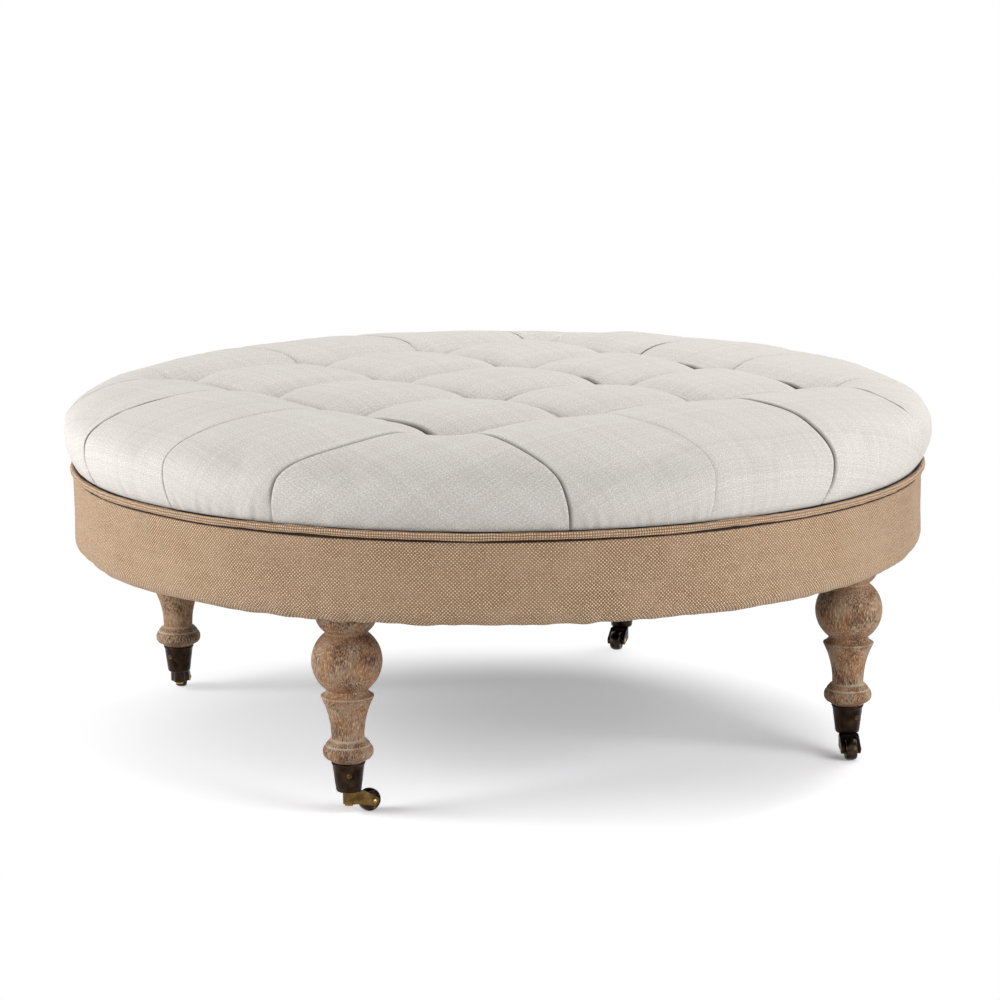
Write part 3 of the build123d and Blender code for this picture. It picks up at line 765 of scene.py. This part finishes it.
def stuffedMoves(places):
    # The stuffing's push: a coarse copy of the cloth, held at its tufts, pleats and seam, is blown up by the
    # cloth simulation, and the fine cloth's points take over its moves.
    s = stuffing
    parts, faces = joinCells(s["step"], (0, 8.0), 0)
    _, first, where = np.unique(np.round(parts["base"] / (0.02 * mm)).astype(int), axis=0,
                                return_index=True, return_inverse=True)
    points = parts["base"][first]
    faces = where.reshape(-1)[faces]
    faces = [list(dict.fromkeys(face)) for face in faces.tolist()]
    faces = [face for face in faces if len(face) > 2]
    coarse = inScene("coarseCloth", meshFrom("coarseCloth", points, faces, finishes["linen"]))
    group = coarse.vertex_groups.new(name="held")
    group.add([int(i) for i in np.nonzero(parts["held"][first, 0])[0]], 1.0, "REPLACE")
    cloth = coarse.modifiers.new("stuffing", "CLOTH")
    for setting, value in s["fabric"].items():
        setattr(cloth.settings, setting, value)
    cloth.settings.effector_weights.gravity = 0
    cloth.collision_settings.use_collision = False
    cloth.point_cache.frame_start, cloth.point_cache.frame_end = 1, s["frames"]
    scene = bpy.context.scene
    for number in range(1, s["frames"] + 1):
        scene.frame_set(number)
    evaluated = coarse.evaluated_get(bpy.context.evaluated_depsgraph_get())
    blown = np.empty(len(points) * 3)
    evaluated.data.vertices.foreach_get("co", blown)
    moves = blown.reshape(-1, 3) - points
    sizes = np.linalg.norm(moves, axis=1)
    print("stuffing: moves of", round(float(np.percentile(sizes, 50)) / mm, 1), "mm in the middle,",
          round(float(sizes.max()) / mm, 1), "mm at most")
    moves *= (s["mostMove"] * np.tanh(sizes / s["mostMove"]) / np.maximum(sizes, 1e-9))[:, None]
    scene.frame_set(1)
    bpy.data.objects.remove(coarse)
    tree = BVHTree.FromPolygons(points.tolist(), faces)
    found = np.zeros_like(places)
    for k, place in enumerate(places.tolist()):
        spot, _, face, _ = tree.find_nearest(place)
        corner = faces[face]
        weights = poly_3d_calc([points[i].tolist() for i in corner], spot)
        found[k] = np.array(weights) @ moves[corner]
    return found


def cushionMesh():
    c = cushion
    parts, faces = joinCells(c["cellStep"], foldFlat, 1)
    cloth = parts["cloth"]
    cloth = cloth + stuffedMoves(parts["base"])
    mesh = meshFrom("cushionCloth", cloth, faces, finishes["linen"])
    layer = mesh.uv_layers.new(name="clothLay")
    layer.data.foreach_set("uv", parts["lay"][faces.reshape(-1)].reshape(-1))
    # the painted shade of folds, tufts and seam, kept on the points for the linen
    mesh.attributes.new("paintedShade", "FLOAT", "POINT").data.foreach_set("value", parts["dark"].reshape(-1))
    work = bmesh.new()
    work.from_mesh(mesh)
    bmesh.ops.remove_doubles(work, verts=work.verts, dist=0.02 * mm)
    rim = [edge for edge in work.edges if edge.is_boundary]
    high = [edge for edge in rim if edge.verts[0].co.z > c["seam"] + 2 * mm]
    print("cushion:", len(work.verts), "points,", len(rim), "edges at the seam,", len(high), "open above it")
    for drop, share in ((3.0 * mm, 0.996), (0, 0.96)):       # the hem: down behind the piping, then in
        grownRim = bmesh.ops.extrude_edge_only(work, edges=rim)["geom"]
        for vert in (item for item in grownRim if isinstance(item, bmesh.types.BMVert)):
            vert.co = (vert.co.x * share, vert.co.y * share, vert.co.z - drop)
        rim = [edge for edge in work.edges if edge.is_boundary]
    bmesh.ops.edgeloop_fill(work, edges=rim)
    bmesh.ops.recalc_face_normals(work, faces=work.faces)
    for face in work.faces:
        face.smooth = True
    work.to_mesh(mesh)
    work.free()
    return mesh


cushionPiece = newPiece("tuftedLinen", cushionMesh(), rootBody, ["tufted_cushion"])
print("cushion made")


# The apron: burlap drawn over the hoop and turned under its lower edge

apronLow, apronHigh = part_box("apron_cover")
apron = {
    "radius": apronHigh.x,
    "top": apronHigh.z + 2 * mm,        # it runs up behind the piping
    "base": apronLow.z,
    "bend": 20 * mm,                    # radius of the rolled lower edge
    "lip": 11 * mm,                     # how far the cloth runs in under the hoop
    "cloth": 1.4 * mm,
    "columns": 960,
    "lumps": 0.9 * mm,
    "lowPuckers": 1.1 * mm,             # where it is drawn over the lower edge, to this height
    "lowReach": 62 * mm,
    "highPuckers": 0.5 * mm,            # where it is sewn to the piping, down from there
    "highReach": 14 * mm,
    "seed": 21,
}


def apronMesh():
    a = apron
    outer = [(a["radius"], z) for z in np.linspace(a["top"], a["base"] + a["bend"], 22)]
    for turn in np.linspace(0, math.pi / 2, 12)[1:]:
        inward, upward = a["bend"] * (1 - math.cos(turn)), a["bend"] * (1 - math.sin(turn))
        outer.append((a["radius"] - inward, a["base"] + upward))
    outer += [(a["radius"] - a["bend"] - a["lip"] * t, a["base"]) for t in (0.35, 0.7, 1.0)]
    outer = np.array(outer)
    along = np.gradient(outer, axis=0)
    along /= np.linalg.norm(along, axis=1, keepdims=True)
    outward = np.stack([-along[:, 1], along[:, 0]], 1)
    turns = np.linspace(0, 2 * math.pi, a["columns"], endpoint=False)
    x, y = a["radius"] * np.cos(turns)[None], a["radius"] * np.sin(turns)[None]
    height = outer[:, 1][:, None]
    low = smoothStep((a["base"] + a["lowReach"] - height) / (60 * mm))
    low = low * ripple(x, y, 34 * mm, a["seed"] + 1) * (0.5 + 0.5 * ripple(x, y, 260 * mm, a["seed"] + 2))
    high = smoothStep((height - a["top"] + a["highReach"]) / a["highReach"])
    high = high * ripple(x, y, 12 * mm, a["seed"] + 3)
    proud = a["lumps"] * ripple(x + height, y - height, 130 * mm, a["seed"])
    proud = np.clip(proud + a["lowPuckers"] * low + a["highPuckers"] * high, -1.2 * mm, 3 * mm) + 0.6 * mm
    rows = []
    inner = (outer[::-1], outward[::-1], proud[::-1] - a["cloth"])
    for level, normal, shift in ((outer, outward, proud), inner):
        radius, z = (level[:, k][:, None] + normal[:, k][:, None] * shift for k in (0, 1))
        z = np.broadcast_to(z, radius.shape)
        rows.append(np.stack([radius * np.cos(turns), radius * np.sin(turns), z], -1))
    ring = np.concatenate(rows)
    count, columns = ring.shape[:2]
    index = np.arange(count * columns).reshape(count, columns)
    below, right = np.roll(index, -1, 0), np.roll(index, -1, 1)
    faces = np.stack([index, below, np.roll(below, -1, 1), right], -1).reshape(-1, 4)
    return weldMesh(meshFrom("apronCloth", ring.reshape(-1, 3), faces, finishes["burlap"]))


apronPiece = newPiece("burlapApron", apronMesh(), rootBody, ["apron_cover"])
print("apron made")


# The piping: a cord in burlap that follows the seam, uneven as it is sewn by hand

weltLow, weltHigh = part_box("piping_welt")
pipingRadius = weltHigh.x - (weltHigh.z - weltLow.z) / 2 - 0.5 * mm
piping = {"Ring Radius": pipingRadius, "Height": middleOf("piping_welt").z + 0.9 * mm,
          "Cord Radius": 4.4 * mm, "Wave": 1.2 * mm, "Lumps": 0.16, "Steps": 1500, "Sides": 18,
          "Material": burlapCloth("biasBurlap", bias=True, seamRadius=pipingRadius)}


def pipingTree():
    tree, given = newTree("pipingRound", piping)
    place = addNode(tree, "GeometryNodeInputPosition").outputs[0]
    slow, fast = (maths(tree, "SUBTRACT", noise(tree, place, size, 2.0), 0.5) for size in (1 / 7, 1 / 55))
    lift = maths(tree, "MULTIPLY_ADD", maths(tree, "MULTIPLY", slow, given["Wave"]), 5.0, given["Height"])
    path = shifted(tree, circle(tree, given["Steps"], given["Ring Radius"]), together(tree, {2: lift}))
    share = maths(tree, "MULTIPLY_ADD", maths(tree, "MULTIPLY", fast, given["Lumps"]), 2.0, 1.0)
    cord = swept(tree, path, circle(tree, given["Sides"], given["Cord Radius"]), {"Scale": share})
    return endTree(tree, cord, given["Material"])


newPiece("burlapPiping", grown("burlapPiping", pipingTree(), piping), rootBody, ["piping_welt"])
print("piping made")


# The legs: turned on a lathe from one outline

legBottom, legTop = (end.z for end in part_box("front_left_leg"))
# Heights from the floor, radii, and how far each run bulges out (in is minus), in millimetres
legOutline = ((legTop / mm, 36, 0), (240, 36, 0), (219, 26.6, 2.7), (215.6, 25.4, -0.6), (150.6, 25.0, 15.9),
              (147.4, 24.9, -0.9), (142.6, 30.9, -0.7), (141.2, 31.0, 0.3), (92.2, 19.2, -3.2),
              (90.6, 21.2, -0.3), (88.6, 22.6, 0.3), (83.5, 26.8, 0.4), (79.8, 28.8, 0.2), (76.6, 29.3, 0.3),
              (67.2, 22.4, 2.3), (64.6, 19.0, 0.4), (63.4, 17.3, 0), (legBottom / mm, 13, 0))
# Height of each worn line, how deep it is cut and how much lime it holds; spacing and widths in millimetres
turning = {"grooves": ((217.2, 0.5, 0.4), (142.2, 0.3, 0.8), (90.8, 1.0, 1.0), (84.0, 1.0, 1.0)),
           "spacing": 0.9, "grooveWidth": 0.9, "grooveDepth": 0.8, "limeWidth": 1.1,
           "lathe": {"Sides": 96, "Wear Depth": 0.35 * mm, "Wear Size": 9 * mm,
                     "Material": finishes["limed_oak"]}}


def outlinePoints(outline, spacing):
    # radius and height along the outline, with an arc for each run that bulges
    points = [np.array([outline[0][1], outline[0][0]], float)]
    for height, radius, bulge in outline[1:]:
        start, end = points[-1], np.array([radius, height], float)
        chord = end - start
        size = np.linalg.norm(chord)
        outward = np.array([-chord[1], chord[0]]) / size
        share = np.linspace(0, 1, max(1, math.ceil(size / spacing)) + 1)[1:]
        if bulge:
            arcRadius = (size * size / 4 + bulge * bulge) / (2 * abs(bulge))
            half = math.asin(min(1.0, size / 2 / arcRadius))
            swing = (2 * share - 1) * half
            along = arcRadius * np.sin(swing) + size / 2
            proud = (arcRadius * np.cos(swing) - arcRadius * math.cos(half)) * math.copysign(1, bulge)
        else:
            along, proud = share * size, share * 0
        for a, p in zip(along, proud):
            points.append(start + chord / size * a + outward * p)
    return np.array(points)


def latheTree():
    tree, given = newTree("turnedOnLathe", turning["lathe"])
    line = addNode(tree, "GeometryNodeMeshToCurve", {}, {"Mesh": given["Geometry"]}).outputs[0]
    inputs = {"Scale": named(tree, "FLOAT", "turnRadius"), "Fill Caps": True}
    body = swept(tree, line, circle(tree, given["Sides"], 1.0), inputs)
    place = addNode(tree, "GeometryNodeInputPosition").outputs[0]
    inputs = {"Vector": place, "Scale": maths(tree, "DIVIDE", 1.0, given["Wear Size"]), "Detail": 2.0}
    worn = addNode(tree, "ShaderNodeTexNoise", {}, inputs).outputs[0]
    depth = maths(tree, "MULTIPLY", maths(tree, "SUBTRACT", worn, 0.55), given["Wear Depth"])
    normal = addNode(tree, "GeometryNodeInputNormal").outputs[0]
    moved = shifted(tree, body, vectorMaths(tree, "SCALE", {0: normal, "Scale": depth}))
    return endTree(tree, moved, given["Material"])


def legMesh(place):
    # the leg's axis as a line of points that carry the turned radius and the lime
    points = outlinePoints(legOutline, turning["spacing"])
    radius, height = points[:, 0].copy(), points[:, 1]
    lime = np.zeros(len(points))
    for level, cut, held in turning["grooves"]:
        radius -= cut * turning["grooveDepth"] * np.exp(-((height - level) / turning["grooveWidth"]) ** 2)
        lime = np.maximum(lime, held * np.exp(-((height - level) / turning["limeWidth"]) ** 2))
    mesh = bpy.data.meshes.new("legLine")
    spots = [(place.x, place.y, z * mm) for z in height]
    mesh.from_pydata(spots, [(i, i + 1) for i in range(len(spots) - 1)], [])
    for name, values in (("turnRadius", radius * mm), ("lime", lime)):
        mesh.attributes.new(name, "FLOAT", "POINT").data.foreach_set("value", values)
    return mesh


latheNodes = latheTree()
for corner, place in legPlaces.items():
    leg = grown(corner + "OakLeg", latheNodes, turning["lathe"], legMesh(place))
    newPiece(leg.name, leg, rootBody, [corner + "_leg"])
print("legs made")


# Casters: wheels with a rounded tread, and cups turned as brass ferrules with a rolled rim
# Outlines are pairs of radius and height in mm; a wheel's runs from its bore to its tread on one side.

casterWheel = {"outline": ((2.3, 7.4), (5.2, 7.4), (5.9, 5.9), (9.6, 5.7), (10.5, 6.7), (11.6, 6.9)),
               "radius": 13.5, "treadHalf": 6.9, "treadRows": 15, "crown": 1.9, "sides": 72}
casterCup = {"sides": 80, "outline": (
    (3.0, 28.5), (12.2, 28.5), (13.4, 28.7), (14.2, 29.4), (14.7, 30.6), (15.1, 33.0), (16.0, 40.0),
    (17.3, 50.0), (18.4, 58.6), (18.8, 60.6), (19.5, 61.5), (19.9, 62.6), (19.7, 63.6), (19.0, 64.0),
    (18.1, 63.7), (17.7, 62.8), (16.0, 50.0), (14.7, 40.0), (13.4, 31.5), (3.0, 31.5))}


def revolved(name, outline, centre, axis, sides, material):
    # a closed outline swept about an axis
    side = Vector((1, 0, 0)) if abs(axis.z) > 0.9 else Vector((0, 0, 1))
    front = axis.cross(side)
    points = []
    for radius, height in outline:
        for k in range(sides):
            turn = 2 * math.pi * k / sides
            way = side * math.cos(turn) + front * math.sin(turn)
            points.append(centre + axis * (height * mm) + way * (radius * mm))
    count = len(outline)
    faces = [(i * sides + k, i * sides + (k + 1) % sides, (i + 1) % count * sides + (k + 1) % sides,
              (i + 1) % count * sides + k) for i in range(count) for k in range(sides)]
    return weldMesh(meshFrom(name, points, faces, material))


def wheelOutline():
    w = casterWheel
    face = list(w["outline"])
    tread = [(w["radius"] - w["crown"] * abs(share) ** 2.6, share * w["treadHalf"])
             for share in np.linspace(1, -1, w["treadRows"])[1:-1]]
    return face + tread + [(radius, -height) for radius, height in reversed(face)]


for corner in corners:
    wheel = revolved("wheelMesh", wheelOutline(), wheelPlaces[corner], wheelAxes[corner],
                     casterWheel["sides"], finishes["wheel_bronze"])
    newPiece(corner + "BronzeWheel", wheel, corner + "_roller", [corner + "_wheel"])
print("wheels made")
for corner, place in legPlaces.items():
    foot = Vector((place.x, place.y, 0))
    cup = revolved("cupMesh", casterCup["outline"], foot, Vector((0, 0, 1)), casterCup["sides"],
                   finishes["dark_bronze"])
    newPiece(corner + "BronzeCup", cup, rootBody, [corner + "_cup"])
print("cups made")


# Screw heads in the cups and rivet heads on the axles

screws = {"turns": {"front_left": -107, "front_right": -80, "back_left": -150, "back_right": 20},
          "height": 50 * mm, "cupRadius": 17.4 * mm, "lean": math.radians(7.6),
          "head": {"Ring Radius": 2.1 * mm, "Ring Thickness": 0.75 * mm, "Material": finishes["aged_brass"]}}
rivets = {"reach": 12.1 * mm, "head": {"Radius": 3.1 * mm, "Dome": 0.42, "Material": finishes["pin_steel"]}}


def ball(tree, segments, radius):
    inputs = {"Segments": segments, "Rings": segments // 2, "Radius": radius}
    return addNode(tree, "GeometryNodeMeshUVSphere", {}, inputs).outputs[0]


def screwHead(tree, given):
    # a round rim about a small stud
    rim = swept(tree, circle(tree, 28, given["Ring Radius"]), circle(tree, 10, given["Ring Thickness"]))
    joined = addNode(tree, "GeometryNodeJoinGeometry", {}, {0: rim})
    tree.links.new(ball(tree, 16, given["Ring Thickness"]), joined.inputs[0])
    return joined.outputs[0]


def rivetHead(tree, given):
    flat = together(tree, {0: 1.0, 1: 1.0, 2: given["Dome"]})
    inputs = {"Geometry": ball(tree, 28, given["Radius"]), "Scale": flat}
    return addNode(tree, "GeometryNodeTransform", {}, inputs).outputs[0]


def headsTree(name, values, makeHead):
    tree, given = newTree(name, values)
    facing = named(tree, "FLOAT_VECTOR", "facing")
    placed = placedAt(tree, given["Geometry"], makeHead(tree, given), facing, "Z")
    return endTree(tree, placed, given["Material"])


def pointMesh(places, ways):
    mesh = bpy.data.meshes.new("headPlaces")
    mesh.from_pydata([tuple(place) for place in places], [], [])
    facing = mesh.attributes.new("facing", "FLOAT_VECTOR", "POINT")
    facing.data.foreach_set("vector", np.array(ways, float).reshape(-1))
    return mesh


screwPlaces, screwWays = [], []
for corner, degrees in screws["turns"].items():
    out = Vector((math.cos(math.radians(degrees)), math.sin(math.radians(degrees)), 0))
    foot = Vector((legPlaces[corner].x, legPlaces[corner].y, screws["height"]))
    screwPlaces.append(foot + out * screws["cupRadius"])
    screwWays.append(out * math.cos(screws["lean"]) - Vector((0, 0, math.sin(screws["lean"]))))
screwNodes = headsTree("screwHeads", screws["head"], screwHead)
heads = grown("cupScrews", screwNodes, screws["head"], pointMesh(screwPlaces, screwWays))
newPiece("cupScrews", heads, rootBody)
rivetNodes = headsTree("rivetHeads", rivets["head"], rivetHead)
for corner, axis in wheelAxes.items():
    ends = [wheelPlaces[corner] + axis * rivets["reach"] * sign for sign in (-1, 1)]
    heads = grown(corner + "AxleHeads", rivetNodes, rivets["head"], pointMesh(ends, [-axis, axis]))
    newPiece(heads.name, heads, corner + "_caster")
print("screws and rivets made")


# The dust cover: black cambric tacked under the hoop, sagging a little, with round holes for the legs

coverLow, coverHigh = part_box("dust_cover")
dustCover = {"radius": coverHigh.x, "height": (coverLow.z + coverHigh.z) / 2, "hole": 37.5 * mm,
             "step": 15 * mm, "rimPoints": 220, "holePoints": 48, "sag": 2.5 * mm, "thickness": 0.7 * mm,
             "seed": 31}
staples = {"Ring Radius": 505.5 * mm, "Height": coverLow.z - 0.25 * mm, "Count": 128, "Length": 10 * mm,
           "Wire": 0.9 * mm, "Seed": 5, "Material": finishes["zinc_steel"]}


def dustCoverMesh():
    d = dustCover
    holes = [Vector((place.x, place.y)) for place in legPlaces.values()]
    points, rings = [], []
    circles = [(Vector((0, 0)), d["radius"], d["rimPoints"])]
    circles += [(hole, d["hole"], d["holePoints"]) for hole in holes]
    for centre, radius, count in circles:
        first = len(points)
        for k in range(count):
            turn = 2 * math.pi * k / count
            points.append(centre + Vector((math.cos(turn), math.sin(turn))) * radius)
            rings.append((first + k, first + (k + 1) % count))
    reach = math.ceil(d["radius"] / d["step"])
    for i in range(-reach, reach + 1):
        for j in range(-reach, reach + 1):
            spot = Vector((i + 0.5 * (j % 2), j * math.sqrt(3) / 2)) * d["step"]
            clear = all((spot - hole).length > d["hole"] + 4 * mm for hole in holes)
            if clear and spot.length < d["radius"] - d["step"] / 2:
                points.append(spot)
    flat, _, triangles, *_ = delaunay_2d_cdt(points, rings, [], 0, 1e-6)
    kept = []
    for triangle in triangles:
        middle = (flat[triangle[0]] + flat[triangle[1]] + flat[triangle[2]]) / 3
        if middle.length < d["radius"] and all((middle - hole).length > d["hole"] for hole in holes):
            kept.append(triangle)
    lifted = []
    for spot in flat:
        toHole = min((spot - hole).length - d["hole"] for hole in holes)
        loose = (1 - (spot.length / d["radius"]) ** 2) * min(1, toHole / 0.1)
        fold = 1 + 0.25 * float(ripple(spot.x, spot.y, 160 * mm, d["seed"]))
        lifted.append((spot.x, spot.y, d["height"] - d["sag"] * max(0, loose) * fold))
    return weldMesh(meshFrom("coverCloth", lifted, kept, finishes["cambric"]))


coverPiece = newPiece("cambricCover", dustCoverMesh(), rootBody, ["dust_cover"])
wall = coverPiece.modifiers.new("thickness", "SOLIDIFY")
wall.thickness = dustCover["thickness"]
wall.offset = 0


def staplesTree():
    tree, given = newTree("stapledRound", staples)
    ring = circle(tree, given["Count"], given["Ring Radius"])
    spots = addNode(tree, "GeometryNodeCurveToPoints", {"mode": "EVALUATED"}, {"Curve": ring}).outputs
    crooked = addNode(tree, "FunctionNodeRandomValue", {"data_type": "FLOAT_VECTOR"},
                      {0: (-0.25, -0.25, 0), 1: (0.25, 0.25, 0), "Seed": given["Seed"]}).outputs[0]
    way = vectorMaths(tree, "ADD", {0: spots["Tangent"], 1: crooked})
    size = together(tree, {0: given["Length"], 1: given["Wire"], 2: given["Wire"]})
    bar = addNode(tree, "GeometryNodeMeshCube", {}, {"Size": size}).outputs[0]
    placed = placedAt(tree, spots["Points"], bar, way, "X")
    inputs = {"Geometry": placed, "Translation": together(tree, {2: given["Height"]})}
    return endTree(tree, addNode(tree, "GeometryNodeTransform", {}, inputs).outputs[0], given["Material"])


newPiece("coverStaples", grown("coverStaples", staplesTree(), staples), rootBody)
print("dust cover made")


# Floor, lights and camera

studio = {
    "floorHalf": 9.0,
    "fadeFrom": 0.40, "fadeTo": 0.72,       # the floor goes over to white between these distances
    "fadeMiddle": 0.19,                     # from a point so far toward the camera
    "glow": 0.14,
    "sky": 0.28,
    # turn from the camera's view, elevation, distance, size, and the light that it gives a facing surface
    "lamps": {"backKey": (146, 57, 3.2, 2.0, 0.58), "leftBox": (-74, 20, 3.0, 1.8, 0.72),
              "rightBox": (54, 20, 3.0, 1.8, 0.51)},
}


def seenRays(tree):
    # 1 for what the camera sees, also in mirrors and through glass, and 0 for the light that falls on things
    rays = addNode(tree, "ShaderNodeLightPath").outputs
    seen = maths(tree, "MAXIMUM", rays["Is Camera Ray"], rays["Is Glossy Ray"])
    return maths(tree, "MAXIMUM", seen, rays["Is Transmission Ray"])


def whiteGlow(tree, strength):
    return addNode(tree, "ShaderNodeEmission", {}, {"Color": (1, 1, 1, 1), "Strength": strength}).outputs[0]


def stageFloor():
    # White paper: to the camera it fades to pure white away from the object, and it keeps the shadow.
    material, tree = newMaterial("whitePaper")
    middle = (studio["fadeMiddle"] * math.sin(cameraTurn), -studio["fadeMiddle"] * math.cos(cameraTurn), 0)
    far = vectorMaths(tree, "DISTANCE", {0: objectPlace(tree), 1: middle}, "Value")
    fade = ranged(tree, far, studio["fadeFrom"], studio["fadeTo"], interpolation_type="SMOOTHSTEP")
    seen = seenRays(tree)
    paper = mixColours(tree, seen, linear("#E6E6E8"), (1.5, 1.5, 1.53, 1))     # to the camera above white
    matt = addNode(tree, "ShaderNodeBsdfDiffuse", {}, {"Color": paper}).outputs[0]
    glow = whiteGlow(tree, maths(tree, "MULTIPLY", seen, studio["glow"]))
    lit = addNode(tree, "ShaderNodeAddShader", {}, {0: matt, 1: glow}).outputs[0]
    inputs = {0: maths(tree, "MULTIPLY", seen, fade), 1: lit, 2: whiteGlow(tree, 1.0)}
    mixed = addNode(tree, "ShaderNodeMixShader", {}, inputs).outputs[0]
    addNode(tree, "ShaderNodeOutputMaterial", {}, {"Surface": mixed})
    half = studio["floorHalf"]
    spots = [(-half, -half, 0), (half, -half, 0), (half, half, 0), (-half, half, 0)]
    inScene("studioFloor", meshFrom("floorMesh", spots, [(0, 1, 2, 3)], material))


def stageWorld():
    world = bpy.data.worlds.new("paleStudio")
    bpy.context.scene.world = world
    world.use_nodes = True
    tree = world.node_tree
    tree.nodes.clear()
    level = ranged(tree, seenRays(tree), atLow=studio["sky"], atHigh=1.0)
    sky = addNode(tree, "ShaderNodeBackground", {}, {"Color": (1, 1, 1, 1), "Strength": level}).outputs[0]
    addNode(tree, "ShaderNodeOutputWorld", {}, {"Surface": sky})


def stageLamps():
    for name, (turn, elevation, distance, size, level) in studio["lamps"].items():
        lamp = bpy.data.lights.new(name, "AREA")
        lamp.shape = "SQUARE"
        lamp.size = size
        lamp.energy = level * math.pi ** 2 * distance ** 2
        across = math.radians(cameraView["azimuth"] - 90 + turn)
        up = math.radians(elevation)
        way = Vector((math.cos(across) * math.cos(up), math.sin(across) * math.cos(up), math.sin(up)))
        aim = way.to_track_quat("Z", "Y").to_matrix().to_4x4()
        inScene(name, lamp).matrix_world = Matrix.Translation(way * distance) @ aim


def stageCamera():
    azimuth, elevation, roll = (math.radians(cameraView[key]) for key in ("azimuth", "elevation", "roll"))
    level = math.cos(elevation)
    back = Vector((math.sin(azimuth) * level, -math.cos(azimuth) * level, math.sin(elevation)))
    right = Vector((math.cos(azimuth), math.sin(azimuth), 0))
    up = back.cross(right)
    right, up = right * math.cos(roll) + up * math.sin(roll), up * math.cos(roll) - right * math.sin(roll)
    lens = bpy.data.cameras.new("viewCamera")
    lens.lens = cameraView["lens"]
    camera = inScene("viewCamera", lens)
    turned = Matrix((right, up, back)).transposed().to_4x4()
    camera.matrix_world = Matrix.Translation(cameraView["place"]) @ turned
    bpy.context.scene.camera = camera


stageFloor()
stageWorld()
stageLamps()
stageCamera()
bpy.context.scene.view_settings.view_transform = "Standard"
print("studio set")
